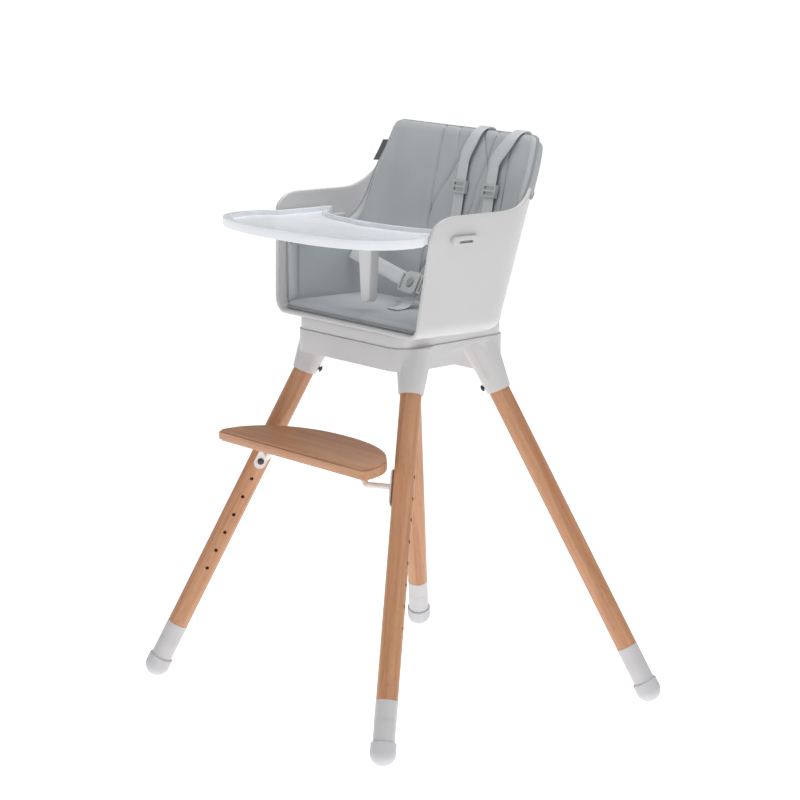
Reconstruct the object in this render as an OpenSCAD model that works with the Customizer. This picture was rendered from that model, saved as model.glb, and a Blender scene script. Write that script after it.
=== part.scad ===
// Baby high chair: a bucket seat with a liner, harness and tray on four splayed wooden legs.
// The front faces -Y, +Z is up, X = 0 is the plane of symmetry, and the feet stand on Z = 0.

/* [Legs] */
// Half the distance between the two front feet
front_foot_x = 320; // [300:1:330]
// Half the distance between the two rear feet
rear_foot_x = 311; // [300:1:320]
// Distance of each foot from the middle, front to back
foot_y = 281.5; // [272:0.5:292]
// Radius of a round wooden leg
leg_r = 17.4; // [16:0.1:18]
// Radius of the ball at the foot
ball_r = 20.7; // [20.3:0.1:22]
// Length of the plastic sleeve, from the middle of the ball
sleeve_len = 81.6; // [70:0.1:95]

/* [Seat shell] */
// Half the width of the shell at its floor
shell_half_w = 193; // [185:1:200]
// Thickness of the shell's wall
shell_t = 6; // [5:0.5:6.5]
// Height of the side walls' top edge
arm_z = 830; // [815:1:840]
// Height of the shell's back, under the cover
shell_top_z = 925; // [900:1:930]

/* [Liner and harness] */
// Thickness of the padded liner
liner_t = 12; // [8:0.5:14]
// Height of the top of the padded back
liner_top_z = 943; // [935:1:950]
// Width of the webbing
strap_w = 25; // [20:1:26]
// Thickness of the webbing
strap_t = 2; // [1.5:0.1:2.4]

/* [Tray] */
// Half the tray's width at its widest
tray_half_w = 228; // [215:1:235]
// Height of the tray's rim
tray_top_z = 802; // [801:0.5:804]
// Thickness of the tray at its rim
tray_t = 14; // [12:0.5:15]
// Height of the crotch post's lower end
post_low_z = 668; // [664:1:690]

/* [Footrest] */
// Half the length of the footrest board
board_half_w = 204; // [190:1:210]
// Depth of the footrest board
board_d = 114; // [100:1:116]
// Thickness of the footrest board
board_t = 18; // [15:0.5:20]
// Tilt of the board, rear edge up, in degrees
board_tilt = 3.7; // [0:0.1:5]
// Distance between the leg's bolt holes, along the leg
hole_pitch = 35; // [30:0.5:36]

/* [Hidden] */
$fn = 64;
LOOSE = 0.06;                  // radial clearance of a part that turns or slides in a bore
GAP = 0.3;                     // clearance between neighbours that move past each other
BIG = 1000;                    // longer than any cut
ball_z = 20;                   // height of the middle of the ball at the foot
sides = [-1, 1];

// Where each leg's axis leaves its socket, and where it meets its foot
front_mouth = [146, -92, 538];
rear_mouth = [120, 112, 520];
front_foot = [front_foot_x, -foot_y, ball_z];
rear_foot = [rear_foot_x, foot_y, ball_z];
mouth_r = 20.3;                // outer radius of a socket at its mouth
socket_top_r = 31;             // outer radius of a socket where it meets the deck
spigot_r = 14;                 // radius of the leg's turned end, inside the sleeve
cap_top = 16;                  // where the foot cap ends and the sleeve begins
leg_in_socket = 50;            // length of leg held in the socket
hole_count = 8;
hole_r = 3.1;
top_hole = 136.6;              // from the socket's mouth down to the first hole
hole_turn = 12;                // turn of the holes about the leg, towards the other front leg
socket_screw_at = 13;          // height of the socket's screw above its mouth

// Heights of the base and the shell
deck_z = 612;                  // top of the base
skirt_front_z = 575;
skirt_rear_z = 540;
base_t = 4;
floor_z = 632;                 // underside of the shell
shell_r = 60;                  // radius of the shell's two rear corners
floor_r = 26;                  // radius between the shell's floor and walls
flare = 0.116;                 // outward slope of the side walls
lean_back = 0.2245;            // backward slope of the back
lean_front = 0.095;            // backward slope of the side walls' front edge
front_y = -118.5;              // front of the shell at its floor
back_y = 79;                   // back of the shell at its floor
top_z = 960;                   // above everything that is cut from the bucket
liner_in = shell_t + 1;        // inset of the liner's outer face from the shell's outer face
pad_top_z = 654;               // top of the seat pad
cover_t = 3;                   // thickness of the cover behind the shell's back
hem_z = 853;                   // lower edge of the cover

// Tray
tray_low_z = tray_top_z - tray_t;
tray_rim = 12;
tray_depth = 7;
horn_x = 203;                  // half the tray's width between the side walls
post_y = -66;

// Latches on the side walls
latch_y = -57;
latch_z = 791.5;
latch_len = 44;
latch_r = 6.5;
latch_t = 7;
latch_pin_r = 2.5;

// Footrest
board_front = [0, -231, 442];  // middle of the board's upper front edge
plate_t = 2.5;
plate_w = 20;
plate_len = 62;
rod_r = 5;
bend_r = 5.3;                  // radius of the ball at each bend of a rod
rod_y = -172;
rod_out = 45;                  // how far a rod stands out from its plate before it bends
rod_end_x = 12;                // a rod's inner end, from the middle
clip_w = 12;

// Harness: the two shoulder straps hang over the near half of the back
strap_xs = [26, 104];
adjuster_z = 848;
buckle = [20, 16, 690];        // middle of the buckle's back
buckle_tilt = 62;              // 90 would stand it upright
buckle_w = 36;
buckle_h = 38;
buckle_t = 14;
button_r = 8;
// Waist straps seen from above the buckle's upper edge, from the buckle outwards
waist_left = [[-35, 8], [-40, 4], [-62, -6], [-95, -18], [-140, -10], [-200, 3]];
waist_right = [[35, 8], [40, 4], [62, -8], [92, -19], [128, -14], [160, -6]];
waist_rise = 11;               // slope of the waist straps up to the sides

function length(a, b) = norm(b - a);
function flip(p, side) = [side * p[0], p[1], p[2]];
front_len = length(front_foot, front_mouth);

// Half-width, front and back of the shell's outer face at height z
function half_w(z) = shell_half_w + (z - floor_z) * flare;
function y_front(z) = front_y + (z - floor_z) * lean_front;
function y_back(z) = back_y + (z - floor_z) * lean_back;

// Points of an arc, in degrees
function arc(c, r, a0, a1, n = 10) =
  [for (i = [0:n]) c + r * [cos(a0 + (a1 - a0) * i / n), sin(a0 + (a1 - a0) * i / n)]];

// A flat band of thickness t along a path of 2-D points
function unit(v) = v / norm(v);
function side_of(p, i) =
  let (d = unit(p[min(i + 1, len(p) - 1)] - p[max(i - 1, 0)])) [-d[1], d[0]];
function band(p, t) = concat(
  [for (i = [0:len(p) - 1]) p[i] + side_of(p, i) * t / 2],
  [for (i = [len(p) - 1:-1:0]) p[i] - side_of(p, i) * t / 2]);

// Children are built along +Z at the origin, then stood at p and turned towards q
module on_axis(p, q) {
  d = q - p;
  translate(p) rotate([0, acos(d[2] / norm(d)), atan2(d[1], d[0])]) children();
}

// Extrudes a side view, drawn with Y across and Z up, to both sides of X = 0
module side_view(width) {
  rotate([90, 0, 90]) translate([0, 0, -width / 2]) linear_extrude(width) children();
}

// Extrudes a front view, drawn with X across and Z up, from y0 to y1
module front_view(y0, y1) {
  translate([0, y1, 0]) rotate([90, 0, 0]) linear_extrude(y1 - y0) children();
}

// Puts children on the outer face of a side wall: X out of the wall, Z up along it
module on_wall(y, z) {
  translate([half_w(z), y, z]) rotate([0, atan(flare), 0]) children();
}

module mirrored(side) {
  if (side > 0) children();
  else mirror([1, 0, 0]) children();
}

// ---------- legs and feet ----------

module leg(foot, mouth, with_holes) {
  span = length(foot, mouth);
  color("burlywood") on_axis(foot, mouth) difference() {
    union() {
      translate([0, 0, sleeve_len]) cylinder(r = leg_r, h = span + leg_in_socket - sleeve_len);
      translate([0, 0, 6]) cylinder(r = spigot_r, h = sleeve_len - 6);
    }
    translate([-leg_r - 5, 0, span + socket_screw_at]) rotate([0, 90, 0])
      cylinder(r = hole_r, h = 2 * leg_r + 10);
    if (with_holes) for (i = [0:hole_count - 1])
      translate([0, 0, span - top_hole - i * hole_pitch])
        rotate([0, 0, foot[0] > 0 ? -hole_turn : hole_turn]) rotate([90, 0, 0])
          cylinder(r = hole_r, h = 2 * leg_r + 10, center = true);
  }
}

module leg_sleeve(foot, mouth) {
  seam_z = 50;
  color("white") on_axis(foot, mouth) difference() {
    translate([0, 0, cap_top]) cylinder(r = leg_r + 0.4, h = sleeve_len - cap_top);
    translate([0, 0, cap_top - 1]) cylinder(r = spigot_r + LOOSE, h = sleeve_len);
    translate([0, 0, seam_z]) difference() {
      cylinder(r = leg_r + 2, h = 0.8);
      translate([0, 0, -1]) cylinder(r = leg_r, h = 3);
    }
  }
}

module foot_cap(foot, mouth) {
  color("whitesmoke") difference() {
    on_axis(foot, mouth) difference() {
      union() {
        sphere(r = ball_r);
        cylinder(r = ball_r, h = cap_top - 1.5);
        translate([0, 0, cap_top - 1.5]) cylinder(r1 = ball_r, r2 = ball_r - 1, h = 1.5);
      }
      translate([0, 0, 5]) cylinder(r = spigot_r + LOOSE, h = cap_top);
    }
    translate([foot[0], foot[1], -ball_r]) cube([4 * ball_r, 4 * ball_r, 2 * ball_r], center = true);
  }
}

module socket_screw(foot, mouth) {
  on_axis(foot, mouth) translate([0, 0, length(foot, mouth) + socket_screw_at]) rotate([0, 90, 0]) {
    translate([0, 0, 1 - leg_r]) cylinder(r = hole_r - LOOSE, h = leg_r + mouth_r + 3);
    translate([0, 0, mouth_r + 2.7]) intersection() {
      cylinder(r = 5.5, h = 4);
      translate([0, 0, -4]) sphere(r = 8);
    }
  }
}

module socket_screws() {
  color("dimgray") for (s = sides) {
    socket_screw(flip(front_foot, s), flip(front_mouth, s));
    socket_screw(flip(rear_foot, s), flip(rear_mouth, s));
  }
}

// ---------- base ----------

// The base is wider in front than behind
module base_outline(inset) {
  front_w = 148 - inset;
  rear_w = 122 - inset;
  front = -116 + inset;
  rear = 132 - inset;
  r = 34 - inset;
  polygon(concat(
    arc([front_w - r, front + r], r, -90, -6),
    arc([rear_w - r, rear - r], r, -6, 90),
    arc([-rear_w + r, rear - r], r, 90, 186),
    arc([-front_w + r, front + r], r, 186, 270)));
}

// The socket's cone opens outwards as it rises to the deck
module socket(foot, mouth) {
  rise = (deck_z - mouth[2]) / (mouth[2] - foot[2]);
  top = mouth + (mouth - foot) * rise + [sign(foot[0]) * 5, sign(foot[1]) * 5, 0];
  on_axis(mouth, top) cylinder(r1 = mouth_r, r2 = socket_top_r, h = length(mouth, top));
}

module leg_bore(foot, mouth) {
  span = length(foot, mouth);
  on_axis(foot, mouth) {
    translate([0, 0, span - 20]) cylinder(r = leg_r + LOOSE, h = 20 + leg_in_socket);
    translate([0, 0, span + socket_screw_at]) rotate([0, 90, 0]) cylinder(r = hole_r, h = 60);
  }
}

module base_housing() {
  notch_y = 52;
  notch_r = 30;
  color("white") difference() {
    union() {
      difference() {
        translate([0, 0, skirt_rear_z]) linear_extrude(deck_z - skirt_rear_z) base_outline(0);
        translate([0, 0, skirt_rear_z - 1]) linear_extrude(deck_z - skirt_rear_z - 5)
          base_outline(base_t);
        translate([-BIG / 2, -BIG + notch_y + 30, skirt_front_z - BIG]) cube(BIG);
        translate([-BIG / 2, notch_y, skirt_front_z]) rotate([0, 90, 0])
          cylinder(r = notch_r, h = BIG);
      }
      for (s = sides) {
        socket(flip(front_foot, s), flip(front_mouth, s));
        socket(flip(rear_foot, s), flip(rear_mouth, s));
      }
    }
    translate([-BIG / 2, -BIG / 2, deck_z]) cube(BIG);
    for (s = sides) {
      leg_bore(flip(front_foot, s), flip(front_mouth, s));
      leg_bore(flip(rear_foot, s), flip(rear_mouth, s));
    }
    adapter_screw_places() translate([0, 0, -20]) cylinder(r = 3.1, h = 40);
  }
}

module adapter_screw_places() {
  for (x = [-60, 60], y = [-60, 40]) translate([x, y, deck_z]) children();
}

// The plate between the base and the shell
module seat_adapter() {
  color("white") difference() {
    translate([0, 0, deck_z]) linear_extrude(floor_z - deck_z) base_outline(2.5);
    translate([0, 0, deck_z - 1]) linear_extrude(floor_z - deck_z - 5) base_outline(8);
    translate([0, 0, deck_z - 1]) cylinder(r = 30, h = 10);
  }
  color("white") adapter_screw_places() difference() {
    cylinder(r = 9, h = 15);
    translate([0, 0, -1]) cylinder(r = 3.1, h = 14);
  }
}

module adapter_screws() {
  color("silver") adapter_screw_places() {
    translate([0, 0, -6]) cylinder(r = 3.04, h = 18);
    translate([0, 0, -9.5]) cylinder(r = 6, h = 3.5);
  }
}

// ---------- shell, liner and cover ----------

// One level of the bucket, its walls lying t inside the shell's outer face
module bucket_level(z, t, front) {
  w = half_w(z) - t;
  back = y_back(z) - t;
  r = shell_r - t;
  polygon(concat(
    [[-w, front], [w, front]],
    arc([w - r, back - r], r, 0, 90, 8),
    arc([-w + r, back - r], r, 90, 180, 8)));
}

// The solid bucket from height z0 up, its floor rounded into its walls
module bucket(t, z0, front) {
  r = max(floor_r - t, 4);
  hull() {
    for (a = [0:30:90]) translate([0, 0, z0 + r * (1 - cos(90 - a))])
      linear_extrude(0.01) bucket_level(z0 + r, t + r * (1 - cos(a)), front);
    translate([0, 0, top_z]) linear_extrude(0.01) bucket_level(top_z, t, front);
  }
}

// The side view of the shell: low arms in front, rising in a curve to the back
module shell_side() {
  nose = [48, 32];
  nose_z = arm_z - nose[1];
  polygon(concat(
    [[front_y, floor_z]],
    [for (a = [0:15:90]) [y_front(nose_z) + nose[0] * (1 - cos(a)), nose_z + nose[1] * sin(a)]],
    [[44, arm_z], [60, arm_z + 2], [78, arm_z + 10], [96, arm_z + 26], [120, 893],
     [134, shell_top_z], [BIG, shell_top_z], [BIG, floor_z]]));
}

// The front view of the back: square below, with round top corners
module back_front(top, r) {
  w = 210;
  polygon(concat(
    [[-w - 90, floor_z - 10], [w + 90, floor_z - 10], [w + 90, top - 70]],
    arc([w - r, top - r], r, 0, 90),
    arc([-w + r, top - r], r, 90, 180),
    [[-w - 90, top - 70]]));
}

module latch_places() {
  for (s = sides) mirrored(s) on_wall(latch_y, latch_z) children();
}

module seat_shell() {
  color("white") difference() {
    intersection() {
      bucket(0, floor_z, front_y);
      side_view(BIG) shell_side();
      front_view(-BIG / 2, BIG / 2) back_front(shell_top_z, 40);
    }
    bucket(shell_t, floor_z + 8, -BIG / 2);
    latch_places() {
      translate([-15, 12, -6]) cube([30, 26, 4]);
      rotate([0, 90, 0]) translate([0, 0, -15]) cylinder(r = latch_pin_r, h = 30);
    }
  }
}

// Pins on which the two tray latches turn
module latch_pins() {
  color("silver") latch_places() rotate([0, 90, 0]) translate([0, 0, -5])
    cylinder(r = latch_pin_r, h = 5 + GAP + latch_t);
}

// Ribs inside the side walls, on which the tray slides
module tray_rail(side) {
  rail_z = tray_low_z - 0.4;
  color("white") mirrored(side) intersection() {
    translate([horn_x - 8, -96, rail_z - 7]) cube([40, 130, 7]);
    bucket(shell_t, floor_z + 8, -BIG / 2);
  }
}

// The side view of the liner: its front edge, its low arm and the sweep up to the back
module liner_side() {
  polygon([[-99, 600], [-88, 758], [-60, 768], [20, 773], [46, 780], [62, 794], [75, 813],
           [86, 840], [96, 862], [108, 884], [120, 906], [131, 932], [138, liner_top_z],
           [BIG, liner_top_z], [BIG, 600]]);
}

module back_liner() {
  color("lightslategray") difference() {
    intersection() {
      bucket(liner_in, floor_z + 9, -BIG / 2);
      side_view(BIG) liner_side();
      front_view(-BIG / 2, BIG / 2) back_front(liner_top_z, 42);
      translate([-BIG / 2, -BIG / 2, pad_top_z + 1]) cube(BIG);
    }
    bucket(liner_in + liner_t, floor_z + 9, -BIG);
  }
}

module seat_pad() {
  color("lightslategray") intersection() {
    bucket(liner_in, floor_z + 9, front_y + 12);
    translate([-BIG / 2, -BIG / 2, pad_top_z - BIG]) cube(BIG);
  }
}

// The pocket of the liner that slips over the shell's back
module back_cover() {
  color("slategray") difference() {
    intersection() {
      bucket(-cover_t - 0.5, floor_z, 98);
      translate([-BIG / 2, 98, hem_z]) cube([BIG, BIG, liner_top_z - hem_z]);
      front_view(-BIG / 2, BIG / 2) back_front(liner_top_z, 42);
      side_view(BIG) polygon([[98, 600], [98, 850], [122, 890], [141, 920], [147, liner_top_z],
                              [BIG, liner_top_z], [BIG, 600]]);
    }
    intersection() {
      bucket(-0.5, floor_z, -BIG / 2);
      translate([-BIG / 2, -BIG / 2, shell_top_z + 0.5 - BIG]) cube(BIG);
    }
    bucket(liner_in - 0.5, floor_z, -BIG / 2);
  }
}

// A small plain tag on the liner's left edge
module side_tag() {
  color("dimgray") translate([-half_w(885) + 3, 116, 872]) rotate([-35, 0, 8]) cube([1.2, 12, 30]);
}

// ---------- harness ----------

// Side view of a shoulder strap: up the back, over the top and down to the seat
strap_path = [[133, 842], [150, 868], [160, 937], [152.5, 949], [138, 949.5], [122, 940],
              [104, 850], [86, 760], [68, 712], [60, 702]];

module shoulder_strap(i) {
  color("lightgray") translate([strap_xs[i], 0, 0]) side_view(strap_w)
    polygon(band(strap_path, strap_t));
}

// Plates that hold the shoulder straps to the back of the shell
module strap_anchors() {
  color("silver") for (x = strap_xs) translate([x, y_back(832) + 0.6, 832])
    rotate([-atan(lean_back), 0, 0]) translate([-15, 0, -8]) cube([30, 4, 16]);
}

// A three-bar slide that shortens a shoulder strap
module strap_adjuster(i) {
  slope = atan(0.2);
  play = 0.6;
  color("gainsboro") translate([strap_xs[i], 103.6, adjuster_z]) rotate([-slope, 0, 0])
    difference() {
      translate([-17, -3.4, -11]) cube([34, 6.8, 22]);
      translate([-strap_w / 2 - play, -strap_t / 2 - play, -20])
        cube([strap_w + 2 * play, strap_t + 2 * play, 40]);
      for (z = [-7, 2]) translate([-strap_w / 2, -10, z]) cube([strap_w, 9, 5]);
    }
}

// The buckle leans back between the waist straps: X across, Z out of its face
module at_buckle() {
  translate(buckle) rotate([buckle_tilt, 0, 0]) children();
}

// Waist straps run from the liner's sides round to the buckle
module waist_strap(path, rise) {
  color("lightgray") at_buckle() rotate([90, 0, rise]) translate([0, 0, -strap_w / 2])
    linear_extrude(strap_w) polygon(band(path, strap_t));
}

module crotch_strap() {
  low = pad_top_z + strap_t / 2 + 0.3;
  color("lightgray") translate([buckle[0], 0, 0]) side_view(strap_w)
    polygon(band([[-34, low], [-12, low + 1], [0, low + 9], [5.5, low + 17]], strap_t));
}

module buckle_body() {
  r = 8;
  x = buckle_w / 2 - r;
  y = buckle_h / 2 - r;
  color("lightgray") at_buckle() difference() {
    linear_extrude(buckle_t) polygon(concat(
      arc([x, y], r, 0, 90), arc([-x, y], r, 90, 180),
      arc([-x, -y], r, 180, 270), arc([x, -y], r, 270, 360)));
    translate([0, 0, 3]) cylinder(r = button_r + LOOSE, h = buckle_t);
    for (s = sides) translate([s * buckle_w / 2, 0, 8]) cube([12, 22, 4.6], center = true);
  }
}

module buckle_button() {
  color("gray") at_buckle() translate([0, 0, 8]) {
    cylinder(r = button_r, h = 7);
    translate([0, 0, 7]) cylinder(r1 = button_r, r2 = button_r - 1, h = 1);
  }
}

// A latch plate that clicks into the side of the buckle, with a slot for the waist strap
module buckle_tongue(side) {
  color("gainsboro") at_buckle() mirrored(side) {
    translate([buckle_w / 2 - 5.5, -10, 6.2]) cube([8, 20, 3.6]);
    translate([buckle_w / 2 + 1, -15.5, 5]) difference() {
      cube([12, 31, 6]);
      translate([4, 2.5, -1]) cube([5, 26, 8]);
    }
  }
}

// A slotted plate on the seat, for a second height of the crotch strap
module seat_slot_plate() {
  color("gainsboro") translate([-25, 30, pad_top_z]) difference() {
    translate([-20, -7, 0.2]) cube([40, 14, 1.8]);
    translate([-14, -2, -1]) cube([28, 4, 4]);
  }
}

// ---------- tray ----------

// Seen from above: a broad round front, a waist between the arms and a hollow for the child
module tray_outline(inset) {
  w = tray_half_w - inset;
  mid_y = -150;
  reach = 108 - inset;
  n = 2.6;
  horn = horn_x - inset;
  right = concat(
    [for (a = [-90:6:0]) [w * pow(cos(a), 2 / n), mid_y - reach * pow(-sin(a), 2 / n)]],
    [[w - 4, mid_y + 20], [horn + 9, mid_y + 34], [horn + 1, mid_y + 42], [horn, mid_y + 60]],
    arc([horn - 6, -2 - inset], 6, 0, 110, 4),
    [for (a = [0:10:80]) [(horn - 16) * cos(a), -8 - inset - (66 - inset / 2) * sin(a)]]);
  left = [for (i = [len(right) - 1:-1:1]) [-right[i][0], right[i][1]]];
  polygon(concat(right, [[0, -74 - inset]], left));
}

module tray() {
  color("white") difference() {
    translate([0, 0, tray_low_z]) linear_extrude(tray_t) tray_outline(0);
    translate([0, 0, tray_top_z - tray_depth]) linear_extrude(tray_t) tray_outline(tray_rim);
  }
}

// The post between the child's legs, hung from a plate under the tray
module crotch_post() {
  top_half = 19;
  low_half = 12;
  plate_z = tray_low_z - 5;
  color("white") {
    front_view(post_y - 9, post_y + 9) polygon(concat(
      [[-top_half, plate_z + 1], [-low_half, post_low_z + low_half]],
      arc([0, post_low_z + low_half], low_half, 180, 360),
      [[low_half, post_low_z + low_half], [top_half, plate_z + 1]]));
    translate([-24, -140, plate_z]) cube([48, 83, 5]);
  }
}

module post_screws() {
  color("silver") for (x = [-14, 14], y = [-128, -98]) translate([x, y, tray_low_z - 8])
    cylinder(r = 4, h = 3);
}

// A lever on the outside of the side wall that locks the tray
module tray_latch(side) {
  color("white") mirrored(side) on_wall(latch_y, latch_z) translate([GAP, 0, 0])
    difference() {
      union() {
        rotate([0, 90, 0]) cylinder(r = latch_r, h = latch_t);
        cube([latch_t, latch_len, latch_r]);
      }
      translate([-1, 0, 0]) rotate([0, 90, 0]) cylinder(r = latch_pin_r + LOOSE, h = latch_t + 2);
    }
}

// ---------- footrest ----------

module board_outline(inset) {
  n = 2.14;
  right = [for (a = [0:6:90])
    [(board_half_w - inset) * pow(cos(a), 2 / n), (board_d - inset) * pow(sin(a), 2 / n)]];
  left = [for (i = [len(right) - 2:-1:0]) [-right[i][0], right[i][1]]];
  polygon(concat([[-board_half_w + inset + 5, inset], [board_half_w - inset - 5, inset]],
                 [for (p = right) p + [0, inset + 5]], [for (p = left) p + [0, inset + 5]]));
}

module on_board() {
  translate(board_front) rotate([board_tilt, 0, 0]) children();
}

module footrest_board() {
  edge = 3;
  color("burlywood") on_board() {
    translate([0, 0, -board_t + edge]) linear_extrude(board_t - 2 * edge) board_outline(0);
    translate([0, 0, -board_t]) linear_extrude(edge) board_outline(edge);
    translate([0, 0, -edge]) linear_extrude(edge) board_outline(edge);
  }
}

// Height of the board's underside, and the rod's axis below it
function under_z(y) = board_front[2] + (y - board_front[1]) * tan(board_tilt) - board_t / cos(board_tilt);
rod_z = under_z(rod_y - rod_r) - rod_r - 0.6;

// Frame on the right front leg's inner face: X out of the face, Z up the leg
module on_leg_face(down) {
  on_axis(front_foot, front_mouth) translate([0, 0, front_len - down])
    rotate([0, 0, 90 - hole_turn]) children();
}

// The point of the leg's face where the rod leaves the plate
plate_mid = top_hole + hole_pitch / 2;
leg_up = unit(front_mouth - front_foot);
lean_angle = atan2(leg_up[1], leg_up[0]);
face_dir = [cos(lean_angle + 90 - hole_turn), sin(lean_angle + 90 - hole_turn), 0];
plate_face = leg_r + GAP;
rod_start = front_mouth - leg_up * plate_mid + face_dir * (plate_face + plate_t / 2);
rod_bend = rod_start + face_dir * rod_out;
rod_low = [rod_bend[0] - 26, rod_y, rod_z];

module rod(p, q) {
  on_axis(p, q) cylinder(r = rod_r, h = length(p, q));
  translate(p) sphere(r = bend_r);
}

// A plate on the leg with the rod that runs from it to under the board
module footrest_bracket(side) {
  color("white") mirrored(side) {
    on_leg_face(plate_mid) difference() {
      translate([plate_face, 0, 0]) {
        translate([0, -plate_w / 2, -plate_len / 2 + plate_w / 2])
          cube([plate_t, plate_w, plate_len - plate_w]);
        for (z = [-1, 1]) translate([0, 0, z * (plate_len - plate_w) / 2]) rotate([0, 90, 0])
          cylinder(r = plate_w / 2, h = plate_t);
      }
      for (z = [-1, 1]) translate([0, 0, z * hole_pitch / 2]) rotate([0, 90, 0])
        cylinder(r = hole_r, h = 60);
    }
    rod(rod_bend, rod_start);
    rod(rod_low, rod_bend);
    translate([rod_end_x, rod_y, rod_z]) rotate([0, 90, 0])
      cylinder(r = rod_r, h = rod_low[0] - rod_end_x);
  }
}

module footrest_screws(side) {
  color("dimgray") mirrored(side) for (z = [-1, 1])
    on_leg_face(plate_mid + z * hole_pitch / 2) rotate([0, 90, 0]) {
      translate([0, 0, plate_face]) cylinder(r = hole_r - LOOSE, h = plate_t);
      translate([0, 0, plate_face + plate_t]) intersection() {
        cylinder(r = 5.5, h = 4);
        translate([0, 0, -4.5]) sphere(r = 8);
      }
    }
}

// Saddles under the board in which the two rods slide
module rod_clips() {
  color("white") for (s = sides, x = [74, 92]) translate([s * x, rod_y, 0]) difference() {
    on_clip_board() translate([-clip_w / 2, -13, -13]) cube([clip_w, 26, 12.95]);
    translate([-clip_w, 0, rod_z]) rotate([0, 90, 0]) cylinder(r = rod_r + LOOSE, h = 2 * clip_w);
  }
}

// A frame on the board's underside, straight above the rod
module on_clip_board() {
  translate([0, 0, under_z(rod_y)]) rotate([board_tilt, 0, 0]) children();
}

function left(p) = flip(p, -1);

leg(left(front_foot), left(front_mouth), true);  // leg_front_left
leg(front_foot, front_mouth, true);  // leg_front_right
leg(left(rear_foot), left(rear_mouth), false);  // leg_rear_left
leg(rear_foot, rear_mouth, false);  // leg_rear_right
leg_sleeve(left(front_foot), left(front_mouth));  // leg_sleeve_front_left
leg_sleeve(front_foot, front_mouth);  // leg_sleeve_front_right
leg_sleeve(left(rear_foot), left(rear_mouth));  // leg_sleeve_rear_left
leg_sleeve(rear_foot, rear_mouth);  // leg_sleeve_rear_right
foot_cap(left(front_foot), left(front_mouth));  // foot_cap_front_left
foot_cap(front_foot, front_mouth);  // foot_cap_front_right
foot_cap(left(rear_foot), left(rear_mouth));  // foot_cap_rear_left
foot_cap(rear_foot, rear_mouth);  // foot_cap_rear_right
socket_screws();
base_housing();
seat_adapter();
adapter_screws();
seat_shell();
latch_pins();
tray_rail(-1);  // tray_rail_left
tray_rail(1);  // tray_rail_right
back_liner();
seat_pad();
back_cover();
side_tag();
shoulder_strap(0);  // shoulder_strap_left
shoulder_strap(1);  // shoulder_strap_right
strap_anchors();
strap_adjuster(0);  // strap_adjuster_left
strap_adjuster(1);  // strap_adjuster_right
waist_strap(waist_left, -waist_rise);  // waist_strap_left
waist_strap(waist_right, waist_rise);  // waist_strap_right
crotch_strap();
buckle_body();
buckle_button();
seat_slot_plate();
buckle_tongue(-1);  // buckle_tongue_left
buckle_tongue(1);  // buckle_tongue_right
tray();
crotch_post();
post_screws();
tray_latch(-1);  // tray_latch_left
tray_latch(1);  // tray_latch_right
footrest_board();
rod_clips();
footrest_bracket(-1);  // footrest_bracket_left
footrest_bracket(1);  // footrest_bracket_right
footrest_screws(-1);  // footrest_screws_left
footrest_screws(1);  // footrest_screws_right
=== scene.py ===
"""The high chair's looks: a moulded shell, a padded liner, webbing, plastics and beech over the CAD frame."""
import math

import bmesh
import bpy
import numpy as np
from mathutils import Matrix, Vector


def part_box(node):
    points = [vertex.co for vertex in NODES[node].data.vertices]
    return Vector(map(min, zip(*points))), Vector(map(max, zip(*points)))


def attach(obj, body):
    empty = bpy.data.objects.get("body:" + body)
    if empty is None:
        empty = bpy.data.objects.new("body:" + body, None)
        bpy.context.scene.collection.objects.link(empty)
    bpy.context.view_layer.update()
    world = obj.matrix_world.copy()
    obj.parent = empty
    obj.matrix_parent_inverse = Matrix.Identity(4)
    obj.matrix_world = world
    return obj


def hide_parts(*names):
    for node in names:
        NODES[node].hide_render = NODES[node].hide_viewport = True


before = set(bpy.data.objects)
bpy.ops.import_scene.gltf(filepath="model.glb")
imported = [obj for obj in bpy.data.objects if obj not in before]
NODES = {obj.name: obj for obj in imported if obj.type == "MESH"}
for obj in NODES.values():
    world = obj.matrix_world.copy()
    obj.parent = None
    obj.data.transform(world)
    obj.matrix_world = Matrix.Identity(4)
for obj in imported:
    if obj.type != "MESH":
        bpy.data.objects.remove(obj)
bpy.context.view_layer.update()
MM = 0.001

# ---------- the seat's shape, in millimetres ----------
FLOOR_Z = 632
FLOOR_R = 26            # radius between the floor and the walls
CORNER_R = 60           # radius of the two rear corners
PAD_T = 12              # thickness of the liner
LINER_INSET = 7.2       # from the shell's outer face to the liner's outer face
BACK_SHARE = 0.38       # share of a column's number that lies on the flat of the back
CORNER_SHARE = 0.60     # share where the rear corner ends and the side wall begins
SHELL_RIM = [(-72, 830), (44, 830), (60, 832), (78, 838), (94, 848), (104, 858), (114, 868), (126, 882),
             (138, 897), (300, 897)]
LINER_RIM = [(-92, 752), (-80, 764), (-60, 768), (20, 772), (46, 779), (64, 792), (79, 812), (91, 836),
             (100, 857), (110, 876), (121, 897), (130, 920), (138, 943), (300, 943)]
TABLE_START = -140      # where the smoothed rims below begin, in millimetres
TABLE_END = 220
SHELL_TOP, SHELL_TOP_R = 897, 56    # top of the shell's back, and the radius of its upper corners
LINER_TOP, LINER_TOP_R = 943, 62    # the same for the liner
BACK_HALF_W = 222       # half the width of the back at its upper corners
SHELL_WALL = 7.0
WING_W = 150            # length of a side wall, from its front edge to the rear corner
BEVEL_ANGLE = math.radians(38)
SIDES = ((-1, "left"), (1, "right"))


def half_w(z):
    return 193 + (z - FLOOR_Z) * 0.116


def shell_front(z):
    return -118.5 + (z - FLOOR_Z) * 0.095


def liner_front(z):
    return -99 + (z - 600) * 0.07


def back_y(z):
    return 79 + (z - FLOOR_Z) * 0.2245


def smooth_step(a, b, x):
    t = min(max((x - a) / (b - a), 0.0), 1.0)
    return t * t * (3 - 2 * t)


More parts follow.
